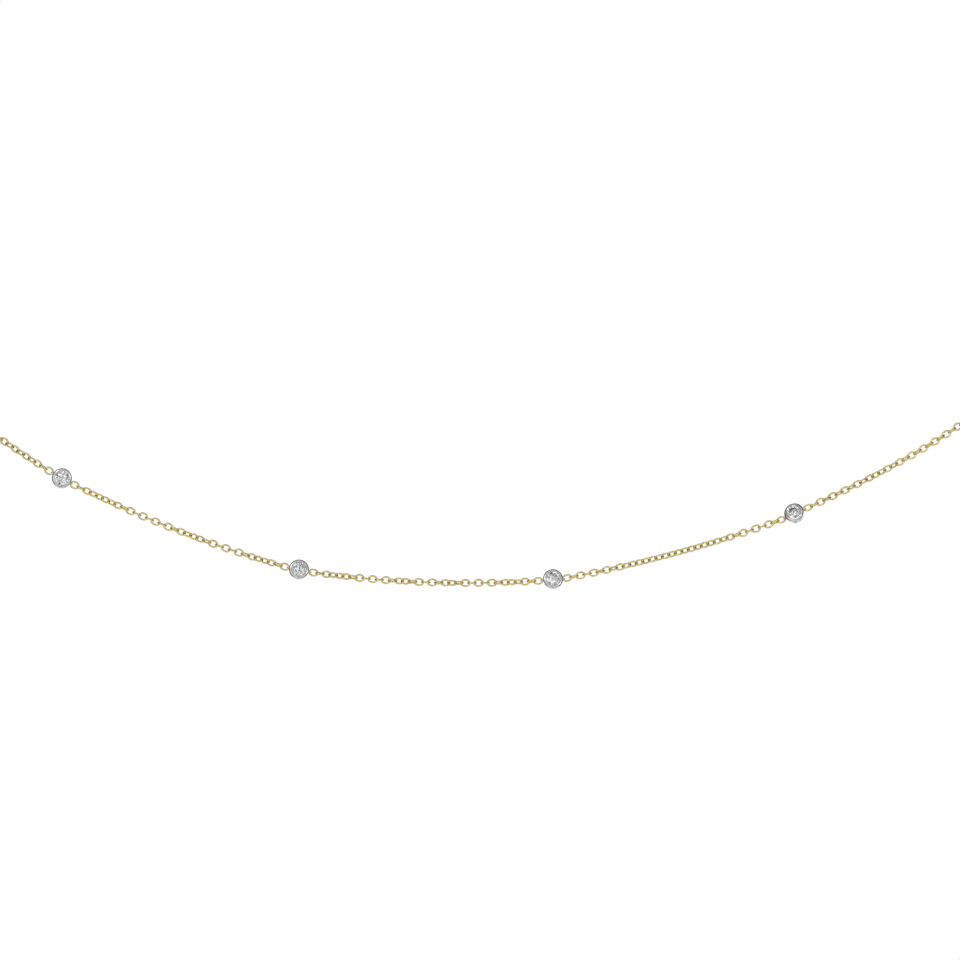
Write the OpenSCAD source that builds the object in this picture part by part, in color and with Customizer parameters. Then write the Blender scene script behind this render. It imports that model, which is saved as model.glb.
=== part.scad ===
// Station necklace: a fine cable chain that joins round bezel-set diamonds at even spacing.
// One closed loop in the form it hangs in when worn, in millimetres.
// +X is to the viewer's right, +Y to the back and +Z up. The origin is at the nape.
// The front of the loop hangs in one upright plane, and the sides rise to the back of the neck.

/* [Diamonds] */
// Diameter across the girdle
stone_d = 1.88; // [1.78:0.01:1.92]
// Width of the table as a share of the diameter
table_share = 0.57; // [0.52:0.01:0.62]
// Angle of the crown's main facets
crown_angle = 34.5; // [32:0.5:36]
// Angle of the pavilion's main facets
pavilion_angle = 40.75; // [39.5:0.25:41.5]
// Height of the girdle's band
girdle_h = 0.04; // [0.02:0.01:0.06]

/* [Bezels] */
// Outer diameter at the rim
bezel_d = 2.42; // [2.40:0.02:2.60]
// Outer diameter at the open back
bezel_back_d = 2.04; // [1.98:0.02:2.20]
// Height from the back to the rim
bezel_h = 1.10; // [1.00:0.02:1.20]
// How far the rim stands in front of the line of the chain
rim_proud = 0.62; // [0.58:0.01:0.66]
// How far the lip closes over the edge of the stone
lip_over = 0.09; // [0.08:0.01:0.10]
// Gap between a stone and its setting
seat_gap = 0.02; // [0.01:0.01:0.03]

/* [Eyelets] */
// Diameter of the wire of the small ring soldered to each side of a bezel
eyelet_wire = 0.14; // [0.12:0.01:0.16]
// Diameter of the hole that the first link passes through
eyelet_hole = 0.26; // [0.24:0.01:0.30]
// Distance from the middle of a bezel to the middle of that hole
eyelet_reach = 1.25; // [1.24:0.01:1.30]

/* [Chain] */
// Width of a link, which is the diameter of the round envelope of the chain
link_w = 0.97; // [0.80:0.01:1.00]
// Share of each turn that the chain takes where it hangs free, the rest is a kink at the eyelets
hang_share = 0.60; // [0.40:0.02:0.90]
// Share of each turn that the chain takes where it lies round the neck
wrap_share = 0.88; // [0.60:0.02:1.00]

/* [Clasp] */
// Outer diameter of the clasp's ring
clasp_d = 4.8; // [4.4:0.1:5.4]
// Diameter of the clasp's tube
clasp_tube = 0.90; // [0.80:0.02:1.00]
// Hole of the eye at each end of the clasp
clasp_eye_hole = 0.34; // [0.30:0.01:0.40]
// Width of the wall round that hole, and the thickness of the eye
clasp_eye_wall = 0.20; // [0.18:0.01:0.24]
// Diameter of the thumb knob
knob_d = 0.42; // [0.36:0.02:0.50]
// Length of the thumb knob from the middle of the clasp's tube
knob_l = 0.85; // [0.70:0.05:1.00]

/* [Hidden] */
// Columns of the table below: place of the middle of each piece, then how it is turned.
// The place is measured from the middle of the front view and the plane that the front hangs in.
X = 0;
Y = 1;
Z = 2;
HEADING = 3; // direction of the chain seen from above, 0 is to the viewer's right
SLOPE = 4;   // rise of the chain in that direction
TIP = 5;     // how far the face of the stone looks up
TURN = 6;    // how far it looks along the chain
// The clasp comes first, then the stones in order down the left side, across the front
// and up the right side. The four stones of the front are rows 6 to 9.
PLACES = [
    [  7.00, 100.0,  65.50, 173,   0.0,  0,   0],
    [-23.00,  96.0,  65.50, 201,   0.0,  6,   4],
    [-48.50,  80.5,  65.00, 224,  -3.0,  9,  -6],
    [-66.00,  57.0,  57.50, 246, -26.0, 12,   5],
    [-72.50,  34.0,  39.00, 265, -42.0,  8,  -5],
    [-71.00,  11.5,  19.40, 287, -44.3, 10,   4],
    [-50.60,   0.0,   0.22, 360, -29.6,  1,   4],
    [-21.90,   0.0, -10.89, 360, -12.0, 13,  -2],
    [  8.80,   0.0, -12.07, 360,   7.4, 17,   8],
    [ 38.08,   0.0,  -4.10, 360,  23.4, 31,  -4],
    [ 64.00,   3.0,  11.30, 398,  36.3, 12,  -4],
    [ 71.00,  22.5,  32.00, 448,  43.0,  8,   5],
    [ 68.50,  45.0,  51.50, 463,  35.0, 11,  -6],
    [ 57.50,  70.0,  63.00, 484,  10.0,  9,   4],
    [ 35.50,  90.5,  65.50, 509,   1.0,  6,  -5]
];
// Middle of the loop at the nape, in the same measure
NAPE = [0, 100.6, 65.5];
FRONT_FIRST = 6;
FRONT_LAST = 9;

place_count = len(PLACES);
stone_count = place_count - 1;
function numbered(name, n) = str(name, "_", n < 10 ? "0" : "", n);

// Heights inside a setting, measured forward from the line of the chain
lip_h = 0.20;
rim_band_h = 0.25;
back_z = rim_proud - bezel_h;
girdle_top_z = rim_proud - lip_h;
girdle_low_z = girdle_top_z - girdle_h;
shoulder_z = rim_proud - rim_band_h;
// The rim is rounded outside and flat on top, and a bevel runs down from it to the stone
rim_round = 0.24;
lip_bevel_w = 0.07;
lip_bevel_h = 0.07;
stone_r = stone_d / 2;
seat_r = stone_r + seat_gap;
lip_r = stone_r - lip_over;
// Main facets round the crown and round the pavilion, and half the angle between two of them
mains = 8;
half_step = 180 / mains;
// Crown of the stone: its half-way corners lie in the planes of the main facets beside them
table_r = table_share * stone_r;
crown_h = (stone_r - table_r) * tan(crown_angle);
star_r = (table_r * cos(half_step) + stone_r) / 2;
star_z = crown_h * (stone_r - star_r * cos(half_step)) / (stone_r - table_r);
// Pavilion: its half facets run down to this share of the radius
lower_share = 0.24;
pavilion_h = stone_r * tan(pavilion_angle);
lower_r = lower_share * stone_r;
lower_z = pavilion_h * (1 - lower_r * cos(half_step) / stone_r);
// Lower edge of the lip, clear of the steepest facets under it
lip_low_z = girdle_top_z + seat_gap + lip_over * star_z / (stone_r - star_r);
ledge_w = 0.07;
bore_r = seat_r - ledge_w;
back_wall = 0.10;

// Reach of the clasp's end eyes, whose walls sink into the clasp's tube, and where the knob stands
clasp_ring_r = (clasp_d - clasp_tube) / 2;
clasp_eye_reach = clasp_d / 2 + clasp_eye_hole / 2;
knob_angle = 60;

chain_sides = 8;
chain_rings = 6;
// Room between an eyelet and the chain's envelope
chain_gap = 0.05;

// Turns of a direction about each axis
function about_x(a) = [[1, 0, 0], [0, cos(a), -sin(a)], [0, sin(a), cos(a)]];
function about_y(a) = [[cos(a), 0, sin(a)], [0, 1, 0], [-sin(a), 0, cos(a)]];
function about_z(a) = [[cos(a), -sin(a), 0], [sin(a), cos(a), 0], [0, 0, 1]];
function unit(v) = v / norm(v);

// Place of a piece, the direction of the chain there, and the piece's own long direction
function place(k) = [PLACES[k][X], PLACES[k][Y], PLACES[k][Z]] - NAPE;
function swing(k) = about_z(PLACES[k][HEADING]) * about_y(-PLACES[k][SLOPE]);
function chain_way(k) = swing(k) * [1, 0, 0];
function own_way(k) = swing(k) * about_x(-PLACES[k][TIP]) * about_z(PLACES[k][TURN]) * [1, 0, 0];
function reach(k) = k == 0 ? clasp_eye_reach : eyelet_reach;
function ring_out(k) =
    k == 0 ? clasp_eye_hole / 2 + clasp_eye_wall : eyelet_hole / 2 + eyelet_wire;
function eye(k, side) = place(k) + side * reach(k) * own_way(k);

// A stretch of chain runs on a cubic curve from the eye of piece a to the eye of piece b
function share(a, b) =
    a >= FRONT_FIRST && b <= FRONT_LAST && b > a ? hang_share : wrap_share;
function leaning(chord, way, part) = unit(unit(chord) + part * (way - unit(chord)));
function curve(t, p, q, from, to) =
    (2 * pow(t, 3) - 3 * pow(t, 2) + 1) * p + (pow(t, 3) - 2 * pow(t, 2) + t) * from
    + (3 * pow(t, 2) - 2 * pow(t, 3)) * q + (pow(t, 3) - pow(t, 2)) * to;
function stretch(a, b) =
    let (
        p = eye(a, 1),
        q = eye(b, -1),
        chord = q - p,
        span = norm(chord),
        from = span * leaning(chord, chain_way(a), share(a, b)),
        to = span * leaning(chord, chain_way(b), share(a, b)),
        start = (ring_out(a) + chain_gap) / span,
        stop = 1 - (ring_out(b) + chain_gap) / span
    )
    [for (i = [0 : chain_rings - 1])
        curve(start + (stop - start) * i / (chain_rings - 1), p, q, from, to)];

// One closed tube along a list of points, with a flat cap at each end
function way_at(points, i) =
    unit(points[min(i + 1, len(points) - 1)] - points[max(i - 1, 0)]);
function ring_at(points, i, r) =
    let (
        way = way_at(points, i),
        out = unit(cross(way, [0, 0, 1])),
        up = cross(out, way)
    )
    [for (j = [0 : chain_sides - 1])
        let (a = 360 * j / chain_sides)
        points[i] + r * cos(a) * out + r * sin(a) * up];
module tube(points, r) {
    last = len(points) - 1;
    n = chain_sides;
    rings = [for (i = [0 : last]) each ring_at(points, i, r)];
    skin = [for (i = [0 : last - 1], j = [0 : n - 1])
        let (a = i * n + j, b = i * n + (j + 1) % n)
        each [[a, b, b + n], [a, b + n, a + n]]];
    caps = [[for (j = [n - 1 : -1 : 0]) j], [for (j = [0 : n - 1]) last * n + j]];
    polyhedron(rings, concat(skin, caps));
}

// Moves a shape to piece k: its X runs along the chain, its Y up the face and its Z outward
module at_piece(k) {
    translate(place(k))
        rotate([0, 0, PLACES[k][HEADING]])
        rotate([0, -PLACES[k][SLOPE], 0])
        rotate([-PLACES[k][TIP], 0, 0])
        rotate([0, 0, PLACES[k][TURN]])
        rotate([90, 0, 0])
        children();
}

// A ring of round wire whose hole lies across the chain
module eye_ring(x, hole, wire) {
    translate([x, 0, 0])
        rotate([90, 0, 0])
        rotate_extrude($fn = 36)
        translate([(hole + wire) / 2, 0])
        circle(d = wire, $fn = 16);
}

// Bezel: a short tapered tube with a ledge under the stone, a lip over it and two eyelets
module bezel(k) {
    outer_edge = [for (a = [0 : 10 : 90])
        [bezel_d / 2 - rim_round + rim_round * cos(a), rim_proud - rim_round + rim_round * sin(a)]];
    inside = [
        [lip_r + lip_bevel_w, rim_proud],
        [lip_r, rim_proud - lip_bevel_h],
        [lip_r, lip_low_z],
        [seat_r, girdle_top_z + seat_gap],
        [seat_r, girdle_low_z - seat_gap],
        [bore_r, girdle_low_z - seat_gap - ledge_w * tan(pavilion_angle)],
        [bezel_back_d / 2 - back_wall, back_z]
    ];
    color("gainsboro")
        at_piece(k)
        union() {
            rotate_extrude($fn = 96)
                polygon(concat(
                    [[bezel_back_d / 2, back_z], [bezel_d / 2, shoulder_z]], outer_edge, inside));
            eye_ring(eyelet_reach, eyelet_hole, eyelet_wire);
            eye_ring(-eyelet_reach, eyelet_hole, eyelet_wire);
        }
}

// Round brilliant: table, stars, crown mains and upper halves, the girdle,
// lower halves and pavilion mains that meet at the culet
module stone(k) {
    function around(n, first, r, z) =
        [for (i = [0 : n - 1]) [r * cos(first + 360 * i / n), r * sin(first + 360 * i / n), z]];
    corners = concat(
        around(mains, 0, table_r, girdle_top_z + crown_h),
        around(mains, half_step, star_r, girdle_top_z + star_z),
        around(2 * mains, 0, stone_r, girdle_top_z),
        around(2 * mains, 0, stone_r, girdle_low_z),
        around(mains, half_step, lower_r, girdle_low_z - lower_z),
        [[0, 0, girdle_low_z - pavilion_h]]
    );
    // Where each ring of corners starts
    star = mains;
    top = 2 * mains;
    low = 4 * mains;
    half = 6 * mains;
    culet = 7 * mains;
    table = [[for (i = [mains - 1 : -1 : 0]) i]];
    crown = [for (i = [0 : mains - 1])
        let (next = (i + 1) % mains, edge = top + 2 * i, mid = edge + 1, far = top + 2 * next)
        each [
            [i, next, star + i],
            [star + i, edge, i],
            [star + i, next, far],
            [star + i, mid, edge],
            [star + i, far, mid]
        ]];
    band = [for (i = [0 : 2 * mains - 1])
        let (next = (i + 1) % (2 * mains))
        each [[top + i, top + next, low + next], [top + i, low + next, low + i]]];
    pavilion = [for (i = [0 : mains - 1])
        let (next = (i + 1) % mains, edge = low + 2 * i, mid = edge + 1, far = low + 2 * next)
        each [
            [half + i, edge, mid],
            [half + i, mid, far],
            [half + i, culet, edge],
            [half + i, far, culet]
        ]];
    color("aliceblue")
        at_piece(k)
        polyhedron(corners, concat(table, crown, band, pavilion));
}

// Chain: the round envelope of the links between two pieces
module chain(n) {
    color("gold")
        tube(stretch(n - 1, n % place_count), link_w / 2);
}

// A flat eye at one end of the clasp, its hole across the chain
module clasp_eye(x) {
    translate([x, 0, 0])
        rotate([90, 0, 0])
        difference() {
            cylinder(h = clasp_eye_wall, d = clasp_eye_hole + 2 * clasp_eye_wall,
                center = true, $fn = 36);
            cylinder(h = 2 * clasp_eye_wall, d = clasp_eye_hole, center = true, $fn = 36);
        }
}

// Clasp: one closed ring with an eye at each end and a small thumb knob
module clasp() {
    color("gold")
        at_piece(0)
        union() {
            rotate_extrude($fn = 72)
                translate([clasp_ring_r, 0])
                circle(d = clasp_tube, $fn = 40);
            clasp_eye(clasp_eye_reach);
            clasp_eye(-clasp_eye_reach);
            rotate([0, 0, knob_angle])
                translate([clasp_ring_r, 0, 0])
                rotate([0, 90, 0])
                cylinder(h = knob_l, d = knob_d, $fn = 32);
        }
}

for (n = [1 : stone_count]) bezel(n);
for (n = [1 : stone_count]) stone(n);
for (n = [1 : place_count]) chain(n);
clasp();
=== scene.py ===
# Diamond station necklace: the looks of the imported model.
# Lengths are in millimetres until they go into Blender, where MM turns them into metres.
import math
from collections import namedtuple

import bpy
import numpy as np
from mathutils import Matrix, Vector


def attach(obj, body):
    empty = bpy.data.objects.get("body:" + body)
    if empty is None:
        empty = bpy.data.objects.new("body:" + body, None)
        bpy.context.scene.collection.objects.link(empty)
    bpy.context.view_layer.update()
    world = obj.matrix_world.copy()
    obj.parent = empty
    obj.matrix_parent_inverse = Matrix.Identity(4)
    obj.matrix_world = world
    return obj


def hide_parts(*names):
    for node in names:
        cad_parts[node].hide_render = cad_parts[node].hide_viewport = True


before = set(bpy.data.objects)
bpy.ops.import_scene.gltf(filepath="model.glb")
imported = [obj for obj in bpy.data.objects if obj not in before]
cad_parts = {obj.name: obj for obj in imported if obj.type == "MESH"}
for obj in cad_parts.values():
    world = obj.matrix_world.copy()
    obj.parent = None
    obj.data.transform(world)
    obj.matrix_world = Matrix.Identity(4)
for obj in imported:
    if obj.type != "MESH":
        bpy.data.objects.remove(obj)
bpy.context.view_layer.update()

MM = 0.001

# The route of the chain, as in the part's source: the place of the clasp and of each stone,
# measured from the middle of the front view, and how the piece is turned
Place = namedtuple("Place", "x y z heading slope tip turn")
PLACES = [
    Place(7.00, 100.0, 65.50, 173, 0.0, 0, 0),
    Place(-23.00, 96.0, 65.50, 201, 0.0, 6, 4),
    Place(-48.50, 80.5, 65.00, 224, -3.0, 9, -6),
    Place(-66.00, 57.0, 57.50, 246, -26.0, 12, 5),
    Place(-72.50, 34.0, 39.00, 265, -42.0, 8, -5),
    Place(-71.00, 11.5, 19.40, 287, -44.3, 10, 4),
    Place(-50.60, 0.0, 0.22, 360, -29.6, 1, 4),
    Place(-21.90, 0.0, -10.89, 360, -12.0, 13, -2),
    Place(8.80, 0.0, -12.07, 360, 7.4, 17, 8),
    Place(38.08, 0.0, -4.10, 360, 23.4, 31, -4),
    Place(64.00, 3.0, 11.30, 398, 36.3, 12, -4),
    Place(71.00, 22.5, 32.00, 448, 43.0, 8, 5),
    Place(68.50, 45.0, 51.50, 463, 35.0, 11, -6),
    Place(57.50, 70.0, 63.00, 484, 10.0, 9, 4),
    Place(35.50, 90.5, 65.50, 509, 1.0, 6, -5),
]
# The middle of the loop's back, which is the frame's origin, and the stones that the photo shows
NAPE = Vector((0, 100.6, 65.5))
FRONT = (6, 7, 8, 9)
STONES = range(1, len(PLACES))
STRETCHES = range(1, len(PLACES) + 1)

# Share of each turn that the chain takes, where it hangs free and where it lies round the neck
HANG_SHARE = 0.60
WRAP_SHARE = 0.88
ROUTE_SAMPLES = 400

# Reach of the eye at each end of a piece, and how far past the eye's middle the first link hooks in
STONE_REACH = 1.25
STONE_HOOK = 0.015
CLASP_REACH = 2.57
CLASP_HOOK = 0.03

# Links of the chain
WIRE_D = 0.21
LINK_W = 0.97
LINK_PITCH = 0.815
LINK_PLAY = 0.006
LINK_SQUARENESS = 2.05
OVAL_SAMPLES = 721
PATH_POINTS = 32
WIRE_SIDES = 10

# How the stretches in the photo are made up and twisted. Each turn is (link, degrees from upright),
# and the links are numbered from the left. The turns of the first and last link are added to the
# lean of the piece that they hook into. A link whose number is odd stands edge-on where the turn is 90.
LINK_COUNTS = {7: 34, 8: 35, 9: 34}
TURNS = {
    6: ((1, 0), (12, 0), (20, 90), (26, 180), (28, 205), (32, 210), (33, 200), (35, 180)),
    7: ((1, 0), (2, 8), (3, 28), (4, 40), (6, 47), (8, 56), (9, 74), (10, 88), (16, 92), (17, 108),
        (19, 125), (21, 140), (22, 156), (23, 170), (25, 180), (27, 182), (28, 200), (29, 212),
        (30, 222), (32, 233), (33, 250), (34, 270)),
    8: ((1, 0), (2, 8), (3, 24), (4, 38), (6, 50), (7, 66), (8, 85), (10, 90), (12, 92), (13, 110),
        (14, 126), (15, 140), (16, 160), (17, 175), (19, 182), (20, 198), (21, 208), (22, 224),
        (23, 248), (24, 265), (26, 270), (28, 272), (29, 290), (31, 315), (32, 330), (33, 348), (35, 360)),
    9: ((1, 0), (5, 2), (6, 14), (7, 20), (9, 30), (10, 40), (12, 45), (24, 46), (26, 58), (27, 70),
        (28, 84), (31, 90), (34, 90)),
    10: ((1, 0), (2, -10), (3, 12), (5, 20), (9, 24), (11, 36), (12, 44), (14, 56), (16, 62), (18, 68),
         (26, 72), (34, 90)),
}


def spin(degrees, axis):
    return Matrix.Rotation(math.radians(degrees), 3, axis)


def swing(place):
    """Turns +X to the direction of the chain at a piece."""
    return spin(place.heading, "Z") @ spin(-place.slope, "Y")


def turned(place):
    """Turns +X to the piece's own long direction, and +Z up its face."""
    return swing(place) @ spin(-place.tip, "X") @ spin(place.turn, "Z")


def middle(place):
    return Vector((place.x, place.y, place.z)) - NAPE


def reach(k):
    return CLASP_REACH if k == 0 else STONE_REACH


def hook(k):
    return CLASP_HOOK if k == 0 else STONE_HOOK


def leaning(chord, way, part):
    """Direction of the curve at one end, between the chord and the piece's direction."""
    straight = chord.normalized()
    return (straight + part * (way - straight)).normalized()


class Stretch:
    """The chain's centre line from the eye of piece a to the eye of piece b, with its own lengths."""

    def __init__(self, a, b):
        self.first, self.last = PLACES[a], PLACES[b]
        start = middle(self.first) + turned(self.first) @ Vector((reach(a), 0, 0))
        end = middle(self.last) - turned(self.last) @ Vector((reach(b), 0, 0))
        chord = end - start
        part = HANG_SHARE if a in FRONT and b in FRONT else WRAP_SHARE
        from_way = chord.length * leaning(chord, swing(self.first) @ Vector((1, 0, 0)), part)
        to_way = chord.length * leaning(chord, swing(self.last) @ Vector((1, 0, 0)), part)
        t = np.linspace(0, 1, ROUTE_SAMPLES)[:, None]
        self.points = (
            (2 * t**3 - 3 * t**2 + 1) * np.array(start)
            + (t**3 - 2 * t**2 + t) * np.array(from_way)
            + (3 * t**2 - 2 * t**3) * np.array(end)
            + (t**3 - t**2) * np.array(to_way)
        )
        steps = np.linalg.norm(np.diff(self.points, axis=0), axis=1)
        self.run = np.concatenate([[0.0], np.cumsum(steps)])
        self.length = self.run[-1]

    def at(self, s):
        return np.array([np.interp(s, self.run, self.points[:, i]) for i in range(3)])


def link_count(n, length):
    return LINK_COUNTS.get(n) or round((length - 2 * STONE_HOOK - WIRE_D - LINK_PLAY) / LINK_PITCH)


def upright(along):
    """The directions across a piece of chain: upward, and to the side that faces out."""
    up = np.array([0, 0, 1]) - along[2] * along
    up /= np.linalg.norm(up)
    return up, np.cross(along, up)


def lean(place, along):
    """How far the face of a piece is turned from upright about the chain, in degrees."""
    up, side = upright(along)
    face = np.array(turned(place) @ Vector((0, 0, 1)))
    return math.degrees(math.atan2(face @ side, face @ up))


def twist(n, count, lean_a, lean_b):
    """Turn of each link from upright: a quarter turn for each link, and the twist of the stretch."""
    # Half turns from end to end, so that the last link lies in line with its piece as the first does
    whole = 180 if count % 2 else 90
    links, degrees = zip(*TURNS.get(n, ((1, 0), (count, whole))))
    degrees = np.array(degrees, float)
    degrees[0] += lean_a
    degrees[-1] += lean_b
    numbers = np.arange(1, count + 1)
    return 90 * (numbers - 1) + np.interp(numbers, links, degrees)


def link_outline(length):
    """Centre line of one link's wire, a rounded oval: even points and their outward directions."""
    angle = np.linspace(0, 2 * math.pi, OVAL_SAMPLES)
    cosine, sine = np.cos(angle), np.sin(angle)
    x = length / 2 * np.sign(cosine) * np.abs(cosine) ** (2 / LINK_SQUARENESS)
    y = (LINK_W - WIRE_D) / 2 * np.sign(sine) * np.abs(sine) ** (2 / LINK_SQUARENESS)
    run = np.concatenate([[0.0], np.cumsum(np.hypot(np.diff(x), np.diff(y)))])
    even = (np.arange(PATH_POINTS) + 0.5) * run[-1] / PATH_POINTS
    points = np.stack([np.interp(even, run, x), np.interp(even, run, y)], axis=1)
    along = np.roll(points, -1, axis=0) - np.roll(points, 1, axis=0)
    along /= np.linalg.norm(along, axis=1, keepdims=True)
    return points, np.stack([along[:, 1], -along[:, 0]], axis=1)


def link_shape(length):
    """Corners of one link about its middle: X along the chain, Y across the link, Z through it."""
    points, outward = link_outline(length)
    around = np.linspace(0, 2 * math.pi, WIRE_SIDES, endpoint=False)
    out = points[:, None, :] + WIRE_D / 2 * np.cos(around)[None, :, None] * outward[:, None, :]
    through = np.broadcast_to(WIRE_D / 2 * np.sin(around)[None, :], out.shape[:2])
    return np.concatenate([out, through[:, :, None]], axis=2).reshape(-1, 3)


def link_faces():
    faces = []
    for i in range(PATH_POINTS):
        for j in range(WIRE_SIDES):
            a, b = i * WIRE_SIDES, (i + 1) % PATH_POINTS * WIRE_SIDES
            k = (j + 1) % WIRE_SIDES
            faces.append((a + j, a + k, b + k, b + j))
    return np.array(faces)


def make_links(n):
    """All links of stretch n in one mesh. They interlock, and the end ones hook into the eyes."""
    a, b = n - 1, n % len(PLACES)
    stretch = Stretch(a, b)
    count = link_count(n, stretch.length)
    room = stretch.length - hook(a) - hook(b)
    overlap = WIRE_D + LINK_PLAY
    length = (room + (count - 1) * overlap) / count
    pitch = length - overlap
    nears = hook(a) + pitch * np.arange(count)
    ends = [(stretch.at(near), stretch.at(near + length)) for near in nears]
    ways = [(end - start) / np.linalg.norm(end - start) for start, end in ends]
    turns = twist(n, count, lean(stretch.first, ways[0]), lean(stretch.last, ways[-1]))
    shape, faces = link_shape(length), link_faces()
    corners, loops = [], []
    for link, ((start, end), along, turn) in enumerate(zip(ends, ways, turns)):
        up, side = upright(along)
        across = math.cos(math.radians(turn)) * up + math.sin(math.radians(turn)) * side
        through = np.cross(along, across)
        corners.append((start + end) / 2 + shape @ np.array([along, across, through]))
        loops.append(faces + len(shape) * link)
    mesh = bpy.data.meshes.new(f"links_{n:02d}")
    mesh.from_pydata((np.concatenate(corners) * MM).tolist(), [], np.concatenate(loops).tolist())
    mesh.shade_smooth()
    links = bpy.data.objects.new(f"links_{n:02d}", mesh)
    bpy.context.scene.collection.objects.link(links)
    return links


# Noise of the materials: its detail in colour and gloss and in the surface, and the values that it
# mostly lies between
NOISE_DETAIL = 3.0
BUMP_DETAIL = 2.0
NOISE_LOW, NOISE_HIGH = 0.3, 0.7
DIAMOND_IOR = 2.417


class Paint:
    """A material with a Principled shader, whose colour, gloss and surface are varied by noise."""

    def __init__(self, name):
        self.material = bpy.data.materials.new(name)
        self.material.use_nodes = True
        self.nodes = self.material.node_tree.nodes
        self.links = self.material.node_tree.links
        self.nodes.clear()
        self.shader = self.nodes.new("ShaderNodeBsdfPrincipled")
        output = self.nodes.new("ShaderNodeOutputMaterial")
        self.links.new(self.shader.outputs["BSDF"], output.inputs["Surface"])

    def set(self, **values):
        for name, value in values.items():
            self.shader.inputs[name.replace("_", " ")].default_value = value

    def noise(self, size_mm, detail):
        place = self.nodes.new("ShaderNodeTexCoord")
        noise = self.nodes.new("ShaderNodeTexNoise")
        noise.inputs["Scale"].default_value = 1 / (size_mm * MM)
        noise.inputs["Detail"].default_value = detail
        self.links.new(place.outputs["Object"], noise.inputs["Vector"])
        return noise.outputs["Fac"]

    def colour(self, size_mm, dark, light, stops=(0.35, 0.65)):
        ramp = self.nodes.new("ShaderNodeValToRGB")
        for element, where, tone in zip(ramp.color_ramp.elements, stops, (dark, light)):
            element.position = where
            element.color = (*tone, 1)
        self.links.new(self.noise(size_mm, NOISE_DETAIL), ramp.inputs["Fac"])
        self.links.new(ramp.outputs["Color"], self.shader.inputs["Base Color"])

    def roughness(self, size_mm, low, high):
        scale = self.nodes.new("ShaderNodeMapRange")
        scale.inputs["From Min"].default_value = NOISE_LOW
        scale.inputs["From Max"].default_value = NOISE_HIGH
        scale.inputs["To Min"].default_value = low
        scale.inputs["To Max"].default_value = high
        self.links.new(self.noise(size_mm, NOISE_DETAIL), scale.inputs["Value"])
        self.links.new(scale.outputs["Result"], self.shader.inputs["Roughness"])

    def bump(self, size_mm, height_mm, strength):
        bump = self.nodes.new("ShaderNodeBump")
        bump.inputs["Strength"].default_value = strength
        bump.inputs["Distance"].default_value = height_mm * MM
        self.links.new(self.noise(size_mm, BUMP_DETAIL), bump.inputs["Height"])
        self.links.new(bump.outputs["Normal"], self.shader.inputs["Normal"])


def yellow_gold():
    paint = Paint("yellow_gold")
    paint.set(Metallic=1.0)
    paint.colour(size_mm=0.5, dark=(0.89, 0.71, 0.25), light=(0.96, 0.79, 0.33))
    paint.roughness(size_mm=0.12, low=0.18, high=0.30)
    paint.bump(size_mm=0.06, height_mm=0.004, strength=0.3)
    return paint.material


def white_gold():
    paint = Paint("white_gold")
    paint.set(Metallic=1.0)
    paint.colour(size_mm=0.4, dark=(0.72, 0.72, 0.72), light=(0.80, 0.80, 0.79))
    paint.roughness(size_mm=0.10, low=0.08, high=0.20)
    paint.bump(size_mm=0.25, height_mm=0.004, strength=0.10)
    return paint.material


def diamond():
    paint = Paint("diamond")
    paint.set(Transmission_Weight=1.0, IOR=DIAMOND_IOR)
    paint.colour(size_mm=0.6, dark=(0.97, 0.98, 1.0), light=(1.0, 1.0, 1.0))
    paint.roughness(size_mm=0.3, low=0.0, high=0.015)
    return paint.material


def studio_white():
    paint = Paint("studio_white")
    paint.set(Roughness=0.9, Emission_Color=(1, 1, 1, 1), Emission_Strength=0.45)
    paint.colour(size_mm=400, dark=(0.90, 0.90, 0.90), light=(0.93, 0.93, 0.93), stops=(0.3, 0.7))
    return paint.material


# The floor, in metres
FLOOR_HALF = 4.0
FLOOR_Z = -0.32


def make_floor():
    """A wide pale floor well under the necklace, which the front view does not reach."""
    corners = [(x, y, FLOOR_Z) for x, y in (
        (-FLOOR_HALF, -FLOOR_HALF), (FLOOR_HALF, -FLOOR_HALF),
        (FLOOR_HALF, FLOOR_HALF), (-FLOOR_HALF, FLOOR_HALF))]
    mesh = bpy.data.meshes.new("floor")
    mesh.from_pydata(corners, [], [(0, 1, 2, 3)])
    mesh.materials.append(studio_white())
    floor = bpy.data.objects.new("floor", mesh)
    bpy.context.scene.collection.objects.link(floor)
    floor.visible_glossy = False
    floor.visible_transmission = False


# The room around the pieces, as the metal reflects it and as it is seen through the stones. The grey
# levels run from behind the camera (0) to behind the piece (1), and patches make the room lighter and
# darker: broad ones in the metal and small ones in the stones, as (noise scale, seed, lowest, highest).
METAL_ROOM = ((0.0, 0.95), (0.25, 0.95), (0.38, 0.05), (0.80, 0.04), (0.88, 0.85), (1.0, 1.0))
METAL_PATCHES = (2.6, 0.0, 0.50, 1.00)
STONE_ROOM = ((0.0, 0.95), (0.25, 0.95), (0.38, 0.90), (0.80, 0.90), (0.88, 0.95), (1.0, 1.0))
STONE_PATCHES = (5.0, 0.0, 0.00, 1.15)
PATCH_DETAIL = 1.0
PATCH_EDGE = (0.42, 0.58)
# The room's floor is bright: the height of direction where that sets in and is full, and its grey
FLOOR_FROM, FLOOR_FULL, FLOOR_GREY = -0.5, -0.8, 0.8
WHITE = (1, 1, 1, 1)


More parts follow.
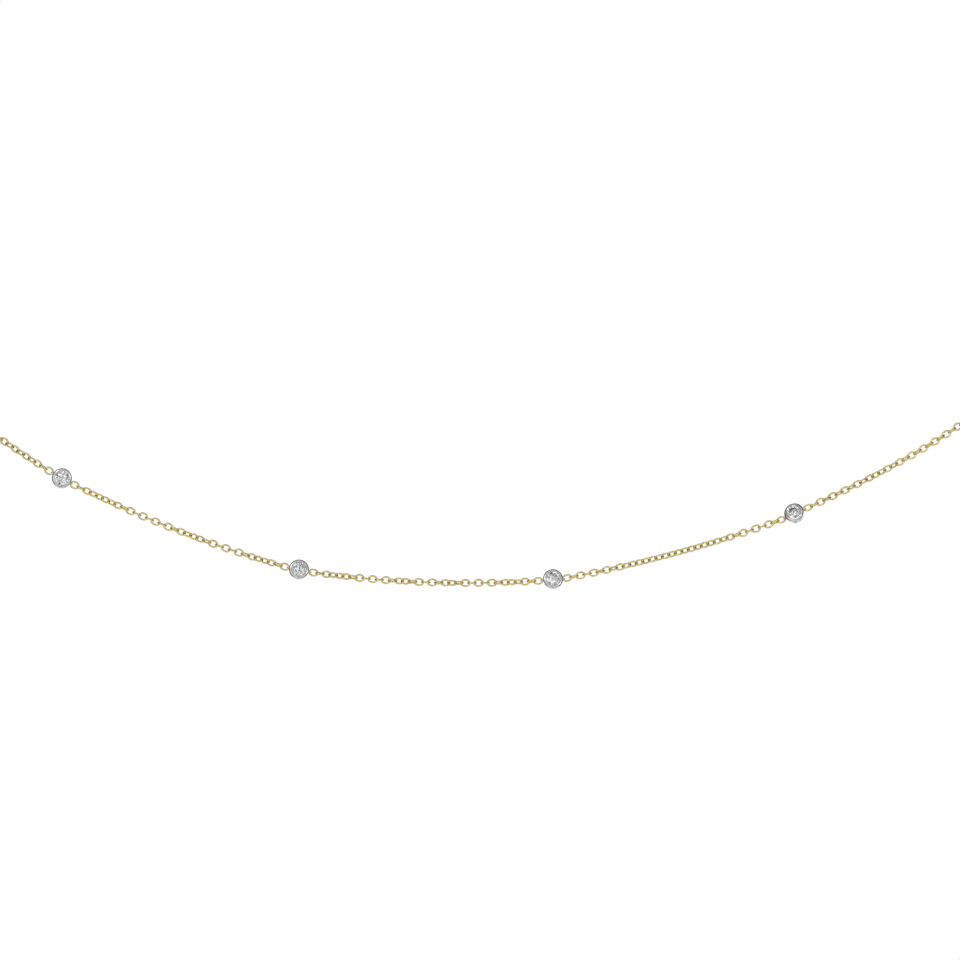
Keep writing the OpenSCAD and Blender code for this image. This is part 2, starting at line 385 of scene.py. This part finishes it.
class World:
    """The world's node tree, and helpers that add nodes to it."""

    def __init__(self, name):
        world = bpy.data.worlds.new(name)
        bpy.context.scene.world = world
        world.use_nodes = True
        self.nodes, self.links = world.node_tree.nodes, world.node_tree.links
        self.nodes.clear()
        self.way = self.add("ShaderNodeTexCoord").outputs["Generated"]

    def add(self, kind):
        return self.nodes.new(kind)

    def background(self):
        background = self.add("ShaderNodeBackground")
        background.inputs["Color"].default_value = WHITE
        return background

    def remap(self, value, from_range, to_range):
        scale = self.add("ShaderNodeMapRange")
        names = ("From Min", "From Max", "To Min", "To Max")
        for name, number in zip(names, (*from_range, *to_range)):
            scale.inputs[name].default_value = number
        self.links.new(value, scale.inputs["Value"])
        return scale.outputs["Result"]

    def math(self, operation, a, b):
        node = self.add("ShaderNodeMath")
        node.operation = operation
        self.links.new(a, node.inputs[0])
        self.links.new(b, node.inputs[1])
        return node.outputs["Value"]

    def patches(self, size, seed, low, high):
        noise = self.add("ShaderNodeTexNoise")
        noise.noise_dimensions = "4D"
        noise.inputs["W"].default_value = seed
        noise.inputs["Scale"].default_value = size
        noise.inputs["Detail"].default_value = PATCH_DETAIL
        self.links.new(self.way, noise.inputs["Vector"])
        return self.remap(noise.outputs["Fac"], PATCH_EDGE, (low, high))

    def room(self, levels, patches):
        """Brightness of the room in each direction."""
        split = self.add("ShaderNodeSeparateXYZ")
        self.links.new(self.way, split.inputs["Vector"])
        ramp = self.add("ShaderNodeValToRGB")
        while len(ramp.color_ramp.elements) < len(levels):
            ramp.color_ramp.elements.new(0.5)
        for element, (where, grey) in zip(ramp.color_ramp.elements, levels):
            element.position = where
            element.color = (grey, grey, grey, 1)
        self.links.new(self.remap(split.outputs["Y"], (-1, 1), (0, 1)), ramp.inputs["Fac"])
        floor = self.remap(split.outputs["Z"], (FLOOR_FROM, FLOOR_FULL), (0, FLOOR_GREY))
        walls = self.math("MAXIMUM", ramp.outputs["Color"], floor)
        return self.math("MULTIPLY", walls, self.patches(*patches))


def make_world():
    """White behind the necklace, and for reflections a room with bright ends and darker sides."""
    world = World("studio")
    path = world.add("ShaderNodeLightPath")
    brightness = world.add("ShaderNodeMix")
    brightness.data_type = "FLOAT"
    world.links.new(path.outputs["Transmission Depth"], brightness.inputs["Factor"])
    world.links.new(world.room(METAL_ROOM, METAL_PATCHES), brightness.inputs["A"])
    world.links.new(world.room(STONE_ROOM, STONE_PATCHES), brightness.inputs["B"])
    room, plain = world.background(), world.background()
    world.links.new(brightness.outputs["Result"], room.inputs["Strength"])
    mix = world.add("ShaderNodeMixShader")
    world.links.new(path.outputs["Is Camera Ray"], mix.inputs["Fac"])
    world.links.new(room.outputs["Background"], mix.inputs[1])
    world.links.new(plain.outputs["Background"], mix.inputs[2])
    output = world.add("ShaderNodeOutputWorld")
    world.links.new(mix.outputs["Shader"], output.inputs["Surface"])


# Two soft lamps before the necklace: place in metres and power in watts
LAMP_SIZE = 0.45
LAMPS = {
    "key": ((-0.45, -1.0, 0.65), 1.2),
    "fill": ((0.7, -0.9, 0.1), 0.8),
}
FRONT_MIDDLE = Vector((0, -NAPE.y, -NAPE.z)) * MM


def make_lamps():
    for name, (place, power) in LAMPS.items():
        light = bpy.data.lights.new(name, "AREA")
        light.shape = "DISK"
        light.size = LAMP_SIZE
        light.energy = power
        lamp = bpy.data.objects.new(name, light)
        lamp.location = place
        lamp.rotation_mode = "QUATERNION"
        lamp.rotation_quaternion = (FRONT_MIDDLE - Vector(place)).to_track_quat("-Z", "Y")
        bpy.context.scene.collection.objects.link(lamp)


# The camera looks straight at the front of the loop. One pixel of the frame is 0.121 mm there.
PIXEL = 0.121
FRAME_PIXELS = 960
CAMERA_AWAY = 1500.0
SENSOR = 36.0
CLIP_NEAR, CLIP_FAR = 0.05, 50


def make_camera():
    camera_data = bpy.data.cameras.new("camera")
    camera_data.sensor_width = SENSOR
    camera_data.lens = SENSOR * CAMERA_AWAY / (PIXEL * FRAME_PIXELS)
    camera_data.clip_start = CLIP_NEAR
    camera_data.clip_end = CLIP_FAR
    camera = bpy.data.objects.new("camera", camera_data)
    camera.location = FRONT_MIDDLE + Vector((0, -CAMERA_AWAY * MM, 0))
    camera.rotation_euler = (math.pi / 2, 0, 0)
    bpy.context.scene.collection.objects.link(camera)
    bpy.context.scene.camera = camera


def dress_nodes(material, *names):
    """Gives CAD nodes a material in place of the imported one."""
    for name in names:
        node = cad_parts[name]
        node.data.materials.clear()
        node.data.materials.append(material)


gold = yellow_gold()
dress_nodes(white_gold(), *(f"bezel_{n:02d}" for n in STONES))
dress_nodes(diamond(), *(f"stone_{n:02d}" for n in STONES))
dress_nodes(gold, "clasp")
for n in STRETCHES:
    links = make_links(n)
    links.data.materials.append(gold)
    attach(links, "root")
    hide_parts(f"chain_{n:02d}")

make_floor()
make_world()
make_lamps()
make_camera()
bpy.context.scene.view_settings.view_transform = "Standard"
